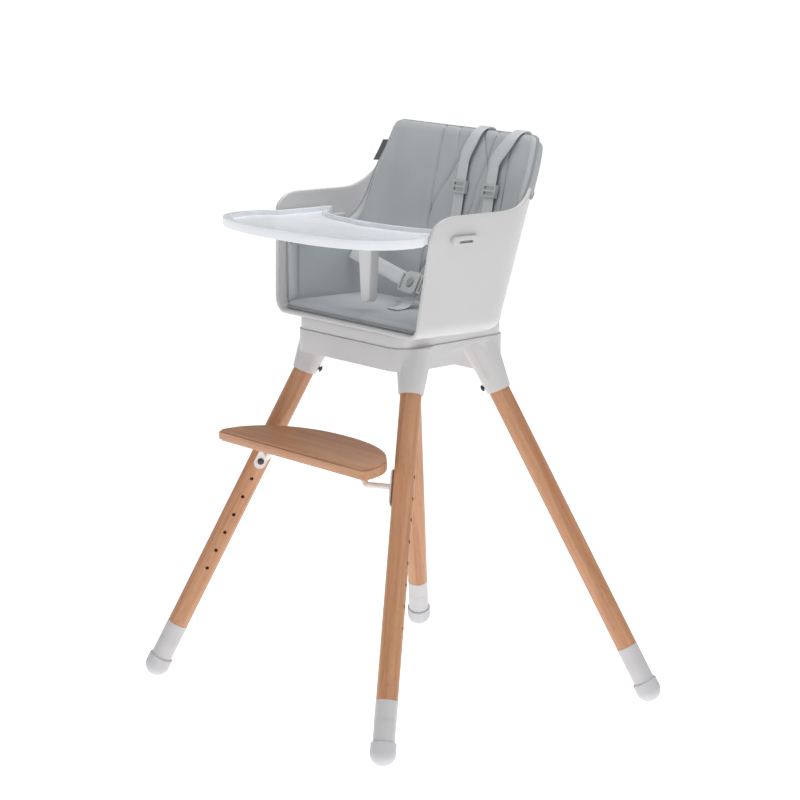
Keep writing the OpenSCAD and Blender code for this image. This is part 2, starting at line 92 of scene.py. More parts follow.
def plan(s, z, inset, front):
    """The bucket's outline at height z: s runs from -1 at the left front edge to 1 at the right."""
    w = half_w(z) - inset
    back = back_y(z) - inset
    r = max(CORNER_R - inset, 8)
    m = abs(s)
    if m < BACK_SHARE:
        x, y = (w - r) * m / BACK_SHARE, back
    elif m < CORNER_SHARE:
        a = (m - BACK_SHARE) / (CORNER_SHARE - BACK_SHARE) * math.pi / 2
        x, y = w - r + r * math.sin(a), back - r + r * math.cos(a)
    else:
        k = (m - CORNER_SHARE) / (1 - CORNER_SHARE)
        x, y = w, (back - r) * (1 - k) + front(z) * k
    return math.copysign(x, s), y


def softened(points, reach=6):
    """The rim's height for each millimetre of y, averaged over a short reach so that it has no kinks."""
    ys = [p[0] for p in points]
    zs = [p[1] for p in points]
    offsets = np.linspace(-reach, reach, 9)
    return [float(np.mean(np.interp(y + offsets, ys, zs))) for y in range(TABLE_START, TABLE_END)]


SHELL_TABLE = softened(SHELL_RIM)
LINER_TABLE = softened(LINER_RIM)


def height_at(table, y):
    f = min(max(y - TABLE_START, 0), len(table) - 2)
    i = int(f)
    return table[i] + (table[i + 1] - table[i]) * (f - i)


def round_corner(x, top, r):
    """The back's upper outline seen from the front, with round corners."""
    middle = BACK_HALF_W - r
    d = abs(x) - middle
    if d <= 0:
        return top
    return top - r + math.sqrt(max(r * r - d * d, 0.0))


def shell_rim(x, y):
    z = height_at(SHELL_TABLE, y)
    if y < -55:
        z -= 32 * (1 - math.sqrt(max(1 - ((-55 - y) / 48.5) ** 2, 0.0)))
    return min(z, round_corner(x, SHELL_TOP, SHELL_TOP_R))


def liner_rim(x, y):
    return min(height_at(LINER_TABLE, y), round_corner(x, LINER_TOP, LINER_TOP_R))


def rim_height(s, inset, front, rim):
    z = 800.0
    for _ in range(18):
        x, y = plan(s, z, inset, front)
        z = 0.5 * z + 0.5 * rim(x, y)
    return z


# ---------- meshes ----------

def new_object(name, verts, faces, material, smooth_angle=40):
    mesh = bpy.data.meshes.new(name)
    mesh.from_pydata([tuple(c * MM for c in v) for v in verts], [], faces)
    mesh.update()
    obj = bpy.data.objects.new(name, mesh)
    bpy.context.scene.collection.objects.link(obj)
    mesh.materials.append(material)
    bm = bmesh.new()
    bm.from_mesh(mesh)
    bmesh.ops.remove_doubles(bm, verts=bm.verts, dist=1e-6)
    bmesh.ops.recalc_face_normals(bm, faces=bm.faces)
    bm.to_mesh(mesh)
    bm.free()
    mesh.shade_smooth()
    mesh.set_sharp_from_angle(angle=math.radians(smooth_angle))
    return obj


def apply_modifiers(obj):
    depsgraph = bpy.context.evaluated_depsgraph_get()
    mesh = bpy.data.meshes.new_from_object(obj.evaluated_get(depsgraph))
    obj.modifiers.clear()
    obj.data = mesh
    return obj


def bevelled(node, name, material, width):
    """A copy of a CAD node with its sharp edges rounded, standing for that node."""
    source = NODES[node]
    mesh = source.data.copy()
    mesh.name = name
    obj = bpy.data.objects.new(name, mesh)
    bpy.context.scene.collection.objects.link(obj)
    bm = bmesh.new()
    bm.from_mesh(mesh)
    bmesh.ops.remove_doubles(bm, verts=bm.verts, dist=2e-6)
    bmesh.ops.dissolve_limit(bm, angle_limit=math.radians(1.0), verts=bm.verts, edges=bm.edges)
    bm.to_mesh(mesh)
    bm.free()
    mesh.materials.clear()
    mesh.materials.append(material)
    bevel = obj.modifiers.new("Bevel", "BEVEL")
    bevel.width = width * MM
    bevel.segments = 3
    bevel.limit_method = "ANGLE"
    bevel.angle_limit = BEVEL_ANGLE
    apply_modifiers(obj)
    obj.data.shade_smooth()
    obj.data.set_sharp_from_angle(angle=BEVEL_ANGLE)
    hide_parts(node)
    return obj


def grid_faces(rows, columns, start=0, flip=False):
    faces = []
    for i in range(rows - 1):
        for j in range(columns - 1):
            a = start + i * columns + j
            quad = (a, a + 1, a + columns + 1, a + columns)
            faces.append(tuple(reversed(quad)) if flip else quad)
    return faces


def closed_pad(name, outer, inner, material):
    """A closed soft solid between two grids of points that share their rows and columns."""
    rows, columns = len(outer), len(outer[0])
    verts = [p for row in outer for p in row] + [p for row in inner for p in row]
    n = rows * columns
    faces = grid_faces(rows, columns) + grid_faces(rows, columns, n, flip=True)
    border = list(range(columns))
    border += [i * columns + columns - 1 for i in range(1, rows)]
    border += [(rows - 1) * columns + j for j in range(columns - 2, -1, -1)]
    border += [i * columns for i in range(rows - 2, 0, -1)]
    for a, b in zip(border, border[1:] + border[:1]):
        faces.append((b, a, a + n, b + n))
    return new_object(name, verts, faces, material, smooth_angle=70)


def tube(name, points, radius, material):
    """A round cord, such as piping, along points in millimetres."""
    curve = bpy.data.curves.new(name, "CURVE")
    curve.dimensions = "3D"
    curve.bevel_depth = radius * MM
    curve.bevel_resolution = 3
    curve.use_fill_caps = True
    spline = curve.splines.new("POLY")
    spline.points.add(len(points) - 1)
    for target, p in zip(spline.points, points):
        target.co = (p[0] * MM, p[1] * MM, p[2] * MM, 1)
    curve.materials.append(material)
    obj = bpy.data.objects.new(name, curve)
    bpy.context.scene.collection.objects.link(obj)
    return obj


def resample(points, step):
    """Points at an even step along a path."""
    points = [Vector(p) for p in points]
    out = [points[0].copy()]
    need = step
    for a, b in zip(points, points[1:]):
        span = (b - a).length
        at = need
        while at <= span:
            out.append(a.lerp(b, at / span))
            at += step
        need = at - span
    return out


def curved(points, count=60):
    """A Catmull-Rom curve through the points."""
    pts = [Vector(p) for p in points]
    pts = [2 * pts[0] - pts[1]] + pts + [2 * pts[-1] - pts[-2]]
    spans = len(pts) - 3
    out = []
    for k in range(count + 1):
        f = k / count * spans
        i = min(int(f), spans - 1)
        t = f - i
        a, b, c, d = pts[i:i + 4]
        out.append(0.5 * ((2 * b) + (c - a) * t + (2 * a - 5 * b + 4 * c - d) * t * t
                          + (3 * b - a - 3 * c + d) * t ** 3))
    return out


def stitches(name, path, material, length=3.2, gap=1.6, radius=0.42):
    """A row of short threads along a path on the surface."""
    verts, faces = [], []
    points = resample(path, (length + gap) / 6)
    for i in range(0, len(points) - 5, 6):
        a, b = points[i], points[i + 4]
        along = (b - a).normalized()
        side = along.orthogonal().normalized()
        other = along.cross(side)
        start = len(verts)
        for share, swell in ((0, 0.35), (0.25, 1), (0.75, 1), (1, 0.35)):
            centre = a.lerp(b, share)
            for k in range(5):
                q = 2 * math.pi * k / 5
                verts.append(tuple(centre + (side * math.cos(q) + other * math.sin(q)) * radius * swell))
        for ring in range(3):
            for k in range(5):
                p = start + ring * 5
                faces.append((p + k, p + (k + 1) % 5, p + 5 + (k + 1) % 5, p + 5 + k))
    return new_object(name, verts, faces, material, smooth_angle=80)


def ribbon(name, path, across, width, thick, material):
    """Flat webbing along a path, with rounded selvedges and its length in the UV map."""
    points = resample(path, 2.5)
    section = [(-0.5, 0.25), (-0.47, 0.5), (-0.2, 0.5), (0.2, 0.5), (0.47, 0.5), (0.5, 0.25),
               (0.5, -0.25), (0.47, -0.5), (0.2, -0.5), (-0.2, -0.5), (-0.47, -0.5), (-0.5, -0.25)]
    verts, faces = [], []
    n = len(section)
    for i, p in enumerate(points):
        along = (points[min(i + 1, len(points) - 1)] - points[max(i - 1, 0)]).normalized()
        side = across(i / max(len(points) - 1, 1)).normalized()
        side = (side - along * side.dot(along)).normalized()
        normal = along.cross(side)
        for u, v in section:
            verts.append(tuple(p + side * u * width + normal * v * thick))
    for i in range(len(points) - 1):
        for k in range(n):
            a = i * n + k
            b = i * n + (k + 1) % n
            faces.append((a, b, b + n, a + n))
    faces.append(tuple(range(n)))
    faces.append(tuple(range(len(verts) - 1, len(verts) - 1 - n, -1)))
    mesh = bpy.data.meshes.new(name)
    mesh.from_pydata([tuple(c * MM for c in v) for v in verts], [], faces)
    uv = mesh.uv_layers.new(name="strap")
    for loop in mesh.loops:
        ring, k = divmod(loop.vertex_index, n)
        uv.data[loop.index].uv = (ring * 2.5 * MM, section[k][0] * width * MM)
    mesh.materials.append(material)
    mesh.shade_smooth()
    mesh.set_sharp_from_angle(angle=math.radians(50))
    obj = bpy.data.objects.new(name, mesh)
    bpy.context.scene.collection.objects.link(obj)
    return obj


# ---------- materials ----------

class Shader:
    """A small helper that wires one Principled material."""

    def __init__(self, name, rough):
        self.material = bpy.data.materials.new(name)
        self.material.use_nodes = True
        self.tree = self.material.node_tree
        self.shader = self.tree.nodes["Principled BSDF"]
        self.shader.inputs["Roughness"].default_value = rough

    def node(self, kind, **settings):
        made = self.tree.nodes.new(kind)
        for key, value in settings.items():
            setattr(made, key, value)
        return made

    def link(self, a, b):
        self.tree.links.new(a, b)

    def coordinates(self, size=(1, 1, 1), turn=(0, 0, 0), uv=False):
        """Texture coordinates, turned to the piece and divided by a feature size in metres."""
        source = self.node("ShaderNodeTexCoord")
        mapping = self.node("ShaderNodeMapping", vector_type="TEXTURE")
        mapping.inputs["Scale"].default_value = size
        mapping.inputs["Rotation"].default_value = turn
        self.link(source.outputs["UV" if uv else "Object"], mapping.inputs["Vector"])
        return mapping.outputs["Vector"]

    def noise(self, vector, scale, detail=3.0, rough=0.5, distort=0.0):
        made = self.node("ShaderNodeTexNoise")
        made.inputs["Scale"].default_value = scale
        made.inputs["Detail"].default_value = detail
        made.inputs["Roughness"].default_value = rough
        made.inputs["Distortion"].default_value = distort
        self.link(vector, made.inputs["Vector"])
        return made.outputs["Fac"]

    def ramp(self, factor, stops):
        made = self.node("ShaderNodeValToRGB")
        elements = made.color_ramp.elements
        while len(elements) < len(stops):
            elements.new(0.5)
        for element, (at, colour) in zip(elements, stops):
            element.position = at
            element.color = (*colour, 1)
        self.link(factor, made.inputs["Fac"])
        return made.outputs["Color"]

    def span(self, factor, low, high):
        made = self.node("ShaderNodeMapRange")
        made.inputs["To Min"].default_value = low
        made.inputs["To Max"].default_value = high
        self.link(factor, made.inputs["Value"])
        return made.outputs["Result"]

    def bump(self, height, strength, distance, under=None):
        made = self.node("ShaderNodeBump")
        made.inputs["Strength"].default_value = strength
        made.inputs["Distance"].default_value = distance
        self.link(height, made.inputs["Height"])
        if under:
            self.link(under, made.inputs["Normal"])
        return made.outputs["Normal"]


def linear(r, g, b):
    """Screen colours from 0 to 255 as linear light."""
    return tuple(((c / 255 + 0.055) / 1.055) ** 2.4 if c > 10 else c / 3294 for c in (r, g, b))


def scaled(colour, k):
    return tuple(min(c * k, 1.0) for c in colour)


def plastic(name, colour, rough, grain, wave=0.03):
    """Moulded plastic: a fine spark-eroded texture and a slow unevenness in colour and gloss."""
    s = Shader(name, rough)
    where = s.coordinates()
    slow = s.noise(where, 9, 2)
    fine = s.noise(where, 1700, 2, 0.6)
    s.link(s.ramp(slow, [(0.3, scaled(colour, 0.97)), (0.7, scaled(colour, 1.02))]),
           s.shader.inputs["Base Color"])
    s.link(s.span(s.noise(where, 60, 3), rough - 0.05, rough + 0.07), s.shader.inputs["Roughness"])
    s.link(s.bump(fine, grain, 0.0001, s.bump(slow, wave, 0.001)), s.shader.inputs["Normal"])
    return s.material


def cushion(name, colour):
    """Coated fabric: tight pores, soft creases and a faint sheen."""
    s = Shader(name, 0.5)
    where = s.coordinates()
    cells = s.node("ShaderNodeTexVoronoi", feature="DISTANCE_TO_EDGE")
    cells.inputs["Scale"].default_value = 750
    s.link(where, cells.inputs["Vector"])
    creases = s.noise(where, 26, 4, 0.55, 0.6)
    tone = s.noise(where, 11, 3)
    s.link(s.ramp(tone, [(0.25, scaled(colour, 0.94)), (0.75, scaled(colour, 1.05))]),
           s.shader.inputs["Base Color"])
    s.link(s.span(creases, 0.42, 0.6), s.shader.inputs["Roughness"])
    s.link(s.bump(cells.outputs["Distance"], 0.22, 0.0003, s.bump(creases, 0.16, 0.0022)),
           s.shader.inputs["Normal"])
    s.shader.inputs["Sheen Weight"].default_value = 0.12
    s.shader.inputs["Sheen Roughness"].default_value = 0.5
    return s.material


def webbing(name, colour):
    """Woven webbing: ribs across and a herringbone of yarns, from the strap's own UV map."""
    s = Shader(name, 0.72)
    where = s.coordinates(uv=True)
    ribs = s.node("ShaderNodeTexWave", bands_direction="X")
    ribs.inputs["Scale"].default_value = 260
    twill = s.node("ShaderNodeTexWave", bands_direction="DIAGONAL")
    twill.inputs["Scale"].default_value = 190
    twill.inputs["Distortion"].default_value = 0.6
    for wave in (ribs, twill):
        s.link(where, wave.inputs["Vector"])
    mixed = s.node("ShaderNodeMath", operation="ADD")
    s.link(ribs.outputs["Fac"], mixed.inputs[0])
    s.link(twill.outputs["Fac"], mixed.inputs[1])
    height = s.span(mixed.outputs["Value"], 0.0, 0.5)
    # painted shade: the weave's low places are coloured darker and its raised yarns lighter, on one webbing
    # colour
    s.link(s.ramp(height, [(0.1, scaled(colour, 0.78)), (0.7, scaled(colour, 1.08))]),
           s.shader.inputs["Base Color"])
    s.link(s.bump(height, 0.5, 0.0005), s.shader.inputs["Normal"])
    s.shader.inputs["Sheen Weight"].default_value = 0.25
    return s.material


def beech(name, direction):
    """Lacquered beech: long grain along the piece, with the short dark flecks of its rays."""
    s = Shader(name, 0.42)
    turn = Vector((0, 0, 1)).rotation_difference(Vector(direction).normalized()).to_euler()
    long_way = s.coordinates((0.012, 0.012, 0.22), turn)
    fleck_way = s.coordinates((0.0016, 0.0016, 0.011), turn)
    fine_way = s.coordinates((0.0022, 0.0022, 0.09), turn)
    base = linear(201, 147, 109)
    dark = linear(184, 127, 89)
    pale = linear(213, 163, 124)
    grain = s.noise(long_way, 1.0, 4, 0.55, 0.5)
    fine = s.noise(fine_way, 1.0, 4, 0.7)
    flecks = s.noise(fleck_way, 1.0, 2, 0.5)
    colour = s.ramp(grain, [(0.30, dark), (0.5, base), (0.72, pale)])
    spots = s.ramp(flecks, [(0.30, scaled(dark, 0.8)), (0.37, (1, 1, 1)), (1.0, (1, 1, 1))])
    mix = s.node("ShaderNodeMix", data_type="RGBA", blend_type="MULTIPLY")
    mix.inputs["Factor"].default_value = 0.35
    s.link(colour, mix.inputs["A"])
    s.link(spots, mix.inputs["B"])
    tone = s.node("ShaderNodeMix", data_type="RGBA", blend_type="MULTIPLY")
    tone.inputs["Factor"].default_value = 0.35
    s.link(mix.outputs["Result"], tone.inputs["A"])
    s.link(s.ramp(fine, [(0.3, (0.72, 0.72, 0.72)), (0.6, (1, 1, 1))]), tone.inputs["B"])
    s.link(tone.outputs["Result"], s.shader.inputs["Base Color"])
    s.link(s.span(fine, 0.34, 0.52), s.shader.inputs["Roughness"])
    s.link(s.bump(fine, 0.12, 0.0004), s.shader.inputs["Normal"])
    s.shader.inputs["Coat Weight"].default_value = 0.15
    s.shader.inputs["Coat Roughness"].default_value = 0.3
    return s.material


def metal(name, colour, rough, metallic=1.0):
    """Plated or powder-coated steel with fine scratches and a slow change of gloss."""
    s = Shader(name, rough)
    where = s.coordinates()
    s.shader.inputs["Metallic"].default_value = metallic
    scratches = s.noise(s.coordinates((0.003, 0.003, 0.0003)), 1.0, 3, 0.7)
    s.link(s.ramp(s.noise(where, 70, 3), [(0.3, scaled(colour, 0.88)), (0.7, scaled(colour, 1.08))]),
           s.shader.inputs["Base Color"])
    s.link(s.span(scratches, max(rough - 0.1, 0.05), rough + 0.12), s.shader.inputs["Roughness"])
    s.link(s.bump(scratches, 0.08, 0.0002), s.shader.inputs["Normal"])
    return s.material


WHITE = plastic("white_shell_plastic", linear(208, 207, 208), 0.34, 0.04)
TRAY_WHITE = plastic("tray_plastic", linear(242, 245, 250), 0.2, 0.0, 0.0)
GREY_FOOT = plastic("foot_grip_plastic", linear(205, 205, 208), 0.5, 0.12)
BUCKLE = plastic("buckle_plastic", linear(186, 188, 187), 0.36, 0.1)
BUTTON = plastic("button_plastic", linear(150, 152, 152), 0.4, 0.15)
CUSHION = cushion("liner_coated_fabric", linear(180, 185, 188))
PIPING = cushion("piping_fabric", linear(150, 155, 159))
COVER = cushion("cover_fabric", linear(170, 175, 179))
THREAD = plastic("sewing_thread", linear(140, 147, 151), 0.8, 0.3)
WEBBING = webbing("harness_webbing", linear(208, 212, 213))
LABEL = cushion("side_label_fabric", linear(96, 96, 100))
STEEL = metal("zinc_plated_steel", (0.55, 0.55, 0.56), 0.32)
DARK_STEEL = metal("black_coated_steel", linear(72, 72, 74), 0.4, 0.4)
WHITE_STEEL = metal("white_powder_coat", linear(232, 231, 229), 0.36, 0.0)
BOARD_WOOD = beech("footrest_beech", (1, 0, 0))


def carry_over(names, material):
    """Gives CAD nodes whose shape is right their finished material."""
    for name in names:
        mesh = NODES[name].data
        if not NODES[name].material_slots:
            mesh.materials.append(material)
        for material_slot in NODES[name].material_slots:
            material_slot.material = material


def place(obj, body):
    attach(obj, body)
    return obj


# ---------- camera, light and floor ----------

CAMERA_AZIMUTH = math.radians(52.417)
CAMERA_RISE = math.radians(10.849)
CAMERA_DISTANCE = 4.9294
CAMERA_AIM = Vector((0, -0.0017, 0.4968))
CAMERA_LENS = 133.45
FLOOR_HALF = 150000.0   # half the floor's side, in millimetres: it fills the picture's background


def make_camera():
    data = bpy.data.cameras.new("camera")
    data.lens = CAMERA_LENS
    data.sensor_width = 36
    data.dof.use_dof = False
    camera = bpy.data.objects.new("camera", data)
    way = Vector((math.sin(CAMERA_AZIMUTH) * math.cos(CAMERA_RISE),
                  -math.cos(CAMERA_AZIMUTH) * math.cos(CAMERA_RISE), math.sin(CAMERA_RISE)))
    camera.location = CAMERA_AIM + way * CAMERA_DISTANCE
    camera.rotation_euler = (-way).to_track_quat("-Z", "Y").to_euler()
    bpy.context.scene.collection.objects.link(camera)
    bpy.context.scene.camera = camera


def area_light(name, position, aim, size, watts):
    data = bpy.data.lights.new(name, "AREA")
    data.shape = "RECTANGLE"
    data.size, data.size_y = size
    data.energy = watts
    light = bpy.data.objects.new(name, data)
    light.location = position
    light.rotation_euler = (Vector(aim) - Vector(position)).to_track_quat("-Z", "Y").to_euler()
    bpy.context.scene.collection.objects.link(light)


def floor_material():
    """A pale seamless floor, faintly uneven, that is a little brighter than its surroundings."""
    s = Shader("floor_paper", 0.9)
    tone = s.noise(s.coordinates(), 0.6, 2)
    s.link(s.ramp(tone, [(0.3, (0.93, 0.93, 0.93)), (0.7, (0.95, 0.95, 0.95))]),
           s.shader.inputs["Base Color"])
    s.shader.inputs["Specular IOR Level"].default_value = 0.0
    s.shader.inputs["Emission Color"].default_value = (1, 1, 1, 1)
    s.shader.inputs["Emission Strength"].default_value = 0.8
    return s.material


def make_studio():
    world = bpy.data.worlds.new("studio")
    world.use_nodes = True
    background = world.node_tree.nodes["Background"]
    background.inputs["Color"].default_value = (1, 1, 1, 1)
    background.inputs["Strength"].default_value = 0.25
    bpy.context.scene.world = world
    bpy.context.scene.view_settings.view_transform = "Standard"
    area_light("key_front", (0.2, -1.6, 3.2), (0, 0, 0.55), (1.6, 1.6), 12)
    area_light("fill_right", (3.0, 0.2, 1.9), (0, 0, 0.5), (1.8, 2.2), 8)
    area_light("top_soft", (0.2, 0.2, 3.0), (0, 0, 0.4), (2.4, 2.4), 42)
    corners = [(x * FLOOR_HALF, y * FLOOR_HALF, -0.3) for x, y in ((-1, -1), (1, -1), (1, 1), (-1, 1))]
    floor = new_object("floor_sweep", corners, [(0, 1, 2, 3)], floor_material())


# ---------- shell ----------

def column_numbers(front_count, corner_count, back_count):
    """Even columns on the back, the corner and the side wall, from the left front to the right."""
    half = [BACK_SHARE * i / back_count for i in range(back_count)]
    half += [BACK_SHARE + (CORNER_SHARE - BACK_SHARE) * i / corner_count for i in range(corner_count)]
    half += [CORNER_SHARE + (1 - CORNER_SHARE) * i / front_count for i in range(front_count + 1)]
    return [-s for s in reversed(half[1:])] + half


LATCH_Y = -57
LATCH_Z = 791.5


def cut_finger_slots(shell):
    """The slots under the tray latches, through the side walls."""
    flare = math.atan(0.116)
    for side in (-1, 1):
        bpy.ops.mesh.primitive_cube_add(size=1)
        cutter = bpy.context.object
        cutter.scale = (0.04, 0.027, 0.0042)
        cutter.rotation_euler = (0, side * flare, 0)
        cutter.location = (side * half_w(LATCH_Z - 4) * MM, (LATCH_Y + 26) * MM, (LATCH_Z - 4.4) * MM)
        cut = shell.modifiers.new("Slot", "BOOLEAN")
        cut.object = cutter
        cut.solver = "EXACT"
        bpy.context.view_layer.update()
        apply_modifiers(shell)
        bpy.data.objects.remove(cutter)


def make_shell():
    columns = column_numbers(44, 16, 12)
    rims = [rim_height(s, 0, shell_front, shell_rim) for s in columns]
    rows = []
    for a in np.linspace(0, 90, 8):
        inset = FLOOR_R * (1 - math.sin(math.radians(a)))
        z = FLOOR_Z + FLOOR_R * (1 - math.cos(math.radians(a)))
        rows.append([(*plan(s, FLOOR_Z + FLOOR_R, inset, shell_front), z) for s in columns])
    wall_rows = 22
    for i in range(1, wall_rows + 1):
        row = []
        for s, rim in zip(columns, rims):
            z = FLOOR_Z + FLOOR_R + (rim - FLOOR_Z - FLOOR_R) * i / wall_rows
            row.append((*plan(s, z, 0, shell_front), z))
        rows.append(row)
    verts = [p for row in rows for p in row]
    n = len(columns)
    faces = grid_faces(len(rows), n)
    faces.append(tuple(range(n)))
    shell = new_object("seat_shell_moulded", verts, faces, WHITE, 35)
    outward = sum(f.normal.dot(f.center - Vector((0, 0, 0.75))) for f in shell.data.polygons)
    if outward < 0:
        shell.data.flip_normals()
    solid = shell.modifiers.new("Wall", "SOLIDIFY")
    solid.thickness = SHELL_WALL * MM
    solid.offset = -1
    solid.use_even_offset = True
    bevel = shell.modifiers.new("Edge", "BEVEL")
    bevel.width = 2.8 * MM
    bevel.segments = 4
    bevel.limit_method = "ANGLE"
    bevel.angle_limit = math.radians(50)
    apply_modifiers(shell)
    cut_finger_slots(shell)
    shell.data.shade_smooth()
    shell.data.set_sharp_from_angle(angle=math.radians(45))
    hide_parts("seat_shell")
    place(shell, "chair")


# ---------- liner ----------

SEAM_X = 52             # the quilted panel runs from this far left of the middle
PANEL_X = 128           # to this far right of it
PANEL_LOW, PANEL_HIGH = 690, 936
QUILT = [((-14, 943), (30, 790)), ((30, 943), (-52, 800)), ((88, 943), (52, 812)), ((52, 943), (96, 840)),
         ((-52, 700), (20, 790)), ((-30, 680), (52, 812)), ((104, 900), (52, 760))]


def distance_to_line(x, z, line):
    (ax, az), (bx, bz) = line
    dx, dz = bx - ax, bz - az
    t = ((x - ax) * dx + (z - az) * dz) / (dx * dx + dz * dz)
    t = min(max(t, 0), 1)
    return math.hypot(x - ax - t * dx, z - az - t * dz)


def groove(d, width, depth):
    """How far a seam pulls the surface in, at a distance d from it."""
    return depth * math.exp(-(d / width) ** 2) + 0.5 * depth * math.exp(-(d / (3.5 * width)) ** 2)


def back_seams(x, z):
    """Depth of the seams in the back panel."""
    pull = groove(abs(x + SEAM_X), 2.0, 3.4) + groove(abs(x - PANEL_X), 2.0, 2.8)
    if not -SEAM_X < x < PANEL_X:
        return pull
    return pull + groove(min(distance_to_line(x, z, line) for line in QUILT), 2.0, 3.0)


def back_surface(x, z):
    """A point on the quilted face of the back, at the bottom of its seams."""
    return x, back_y(z) - LINER_INSET - max(PAD_T - 0.4 - back_seams(x, z), 6) - 0.2, z


def make_seams():
    """The threads that quilt the back panel."""
    seams = [((x, PANEL_LOW), (x, PANEL_HIGH)) for x in (-SEAM_X, PANEL_X)] + QUILT
    for index, ((x0, z0), (x1, z1)) in enumerate(seams):
        steps = [i / 60 for i in range(61)]
        flat = [(x0 + (x1 - x0) * k, z0 + (z1 - z0) * k) for k in steps]
        path = [back_surface(x, z) for x, z in flat
                if -SEAM_X <= x <= PANEL_X and PANEL_LOW <= z <= PANEL_HIGH]
        place(tube(f"quilt_seam_{index}", path, 0.6, THREAD), "chair")


def pad_height(edge, full, roll):
    """The crown of a pad: full thickness inside, rolling down to thin at its edge."""
    if edge >= roll:
        return full
    k = 1 - edge / roll
    return 3.5 + (full - 3.5) * math.sqrt(max(1 - k * k, 0))


def make_liner():
    columns = column_numbers(60, 22, 90)
    low = 650
    rims = [rim_height(s, LINER_INSET, liner_front, liner_rim) for s in columns]
    row_count = 110
    outer, inner = [], []
    shares = [0.5 - 0.5 * math.cos(math.pi * i / (row_count - 1)) for i in range(row_count)]
    shares = [0.65 * i / (row_count - 1) + 0.35 * c for i, c in enumerate(shares)]
    for share in shares:
        outer_row, inner_row = [], []
        for s, rim in zip(columns, rims):
            z = low + (rim - low) * share
            x, y = plan(s, z, LINER_INSET, liner_front)
            edge = rim - z
            wall = (1 - abs(s)) / (1 - CORNER_SHARE) * WING_W
            edge = min(edge, wall)
            thick = pad_height(edge, PAD_T - 0.4, 14)
            if abs(s) < CORNER_SHARE:
                thick -= min(back_seams(x, z), PAD_T - 6)
            else:
                thick -= groove(abs(edge - 20), 1.6, 1.1)
            crumple = 0.45 * math.sin(x * 0.05 + z * 0.035) + 0.3 * math.sin(z * 0.09 - x * 0.021 + 1.3)
            thick += crumple * smooth_step(6, 26, edge)
            outer_row.append((x, y, z))
            inner_row.append((*plan(s, z, LINER_INSET + thick, liner_front), z))
        outer.append(outer_row)
        inner.append(inner_row)
    liner = closed_pad("liner_back_and_wings", outer, inner, CUSHION)
    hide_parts("back_liner")
    place(liner, "chair")

    add_liner_piping(columns, rims)
    add_wing_stitches()


def add_liner_piping(columns, rims):
    """Piping along the liner's edge, and a second line of it on the inside of each wing."""
    rim_points = [(*plan(s, rim - 0.8, LINER_INSET + 1.5, liner_front), rim - 0.8)
                  for s, rim in zip(columns, rims)]
    front_left = [(*plan(-1, z, LINER_INSET + 1.5, liner_front), z)
                  for z in np.linspace(655, rims[0] - 3, 20)]
    front_right = [(-x, y, z) for x, y, z in reversed(front_left)]
    place(tube("liner_edge_piping", front_left + rim_points + front_right, 2.0, PIPING),
          "chair")
    for side, word in SIDES:
        path = []
        for s in columns:
            if s * side > 0.5:
                z = rim_height(s, LINER_INSET, liner_front, liner_rim) - 11
                path.append((*plan(s, z, LINER_INSET + PAD_T - 2.0, liner_front), z))
        place(tube(f"wing_piping_{word}", path, 1.3, PIPING), "chair")


def add_wing_stitches():
    """Two rows of stitches down the front edge of each wing."""
    for row, offset in (("a", 15), ("b", 19.5)):
        for side, word in SIDES:
            share = 1 - offset / WING_W * (1 - CORNER_SHARE)
            path = [(*plan(side * share, z, LINER_INSET + PAD_T - 0.6, liner_front), z)
                    for z in np.linspace(662, 752, 30)]
            place(stitches(f"wing_stitch_{row}_{word}", path, THREAD), "chair")


def make_seat_pad():
    low, top = 640.2, 654.5
    count_x, count_y = 90, 64
    front = -104
    outer, inner = [], []
    for j in range(count_y):
        v = j / (count_y - 1)
        lower, upper = [], []
        for i in range(count_x):
            u = 2 * i / (count_x - 1) - 1
            w = half_w(650) - LINER_INSET - 10
            back = back_y(650) - LINER_INSET - 8
            y = front + (back - front) * v
            r = 34
            reach = w
            if back - y < r:
                reach = w - r + math.sqrt(max(r * r - (r - (back - y)) ** 2, 0))
            x = reach * u
            edge = min(reach - abs(x), y - front, back - y)
            crown = pad_height(max(edge, 0), top - low, 13)
            crown += 1.0 * math.sin(0.018 * x + 1.0) * math.sin(0.03 * y) * smooth_step(5, 40, edge)
            lower.append((x, y, low))
            upper.append((x, y, low + crown))
        outer.append(lower)
        inner.append(upper)
    pad = closed_pad("liner_seat_cushion", outer, inner, CUSHION)
    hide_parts("seat_pad")
    place(pad, "chair")
    w = half_w(650) - LINER_INSET - 12
    edge = [(x, front + 1, low + 4.2) for x in np.linspace(-w, w, 60)]
    place(tube("seat_cushion_piping", edge, 2.0, PIPING), "chair")


def cover_hem(s):
    """The cover's lower edge: level behind, dropping a little along the wings."""
    return 838 + 15 * smooth_step(84, 118, plan(s, 850, 0, shell_front)[1])


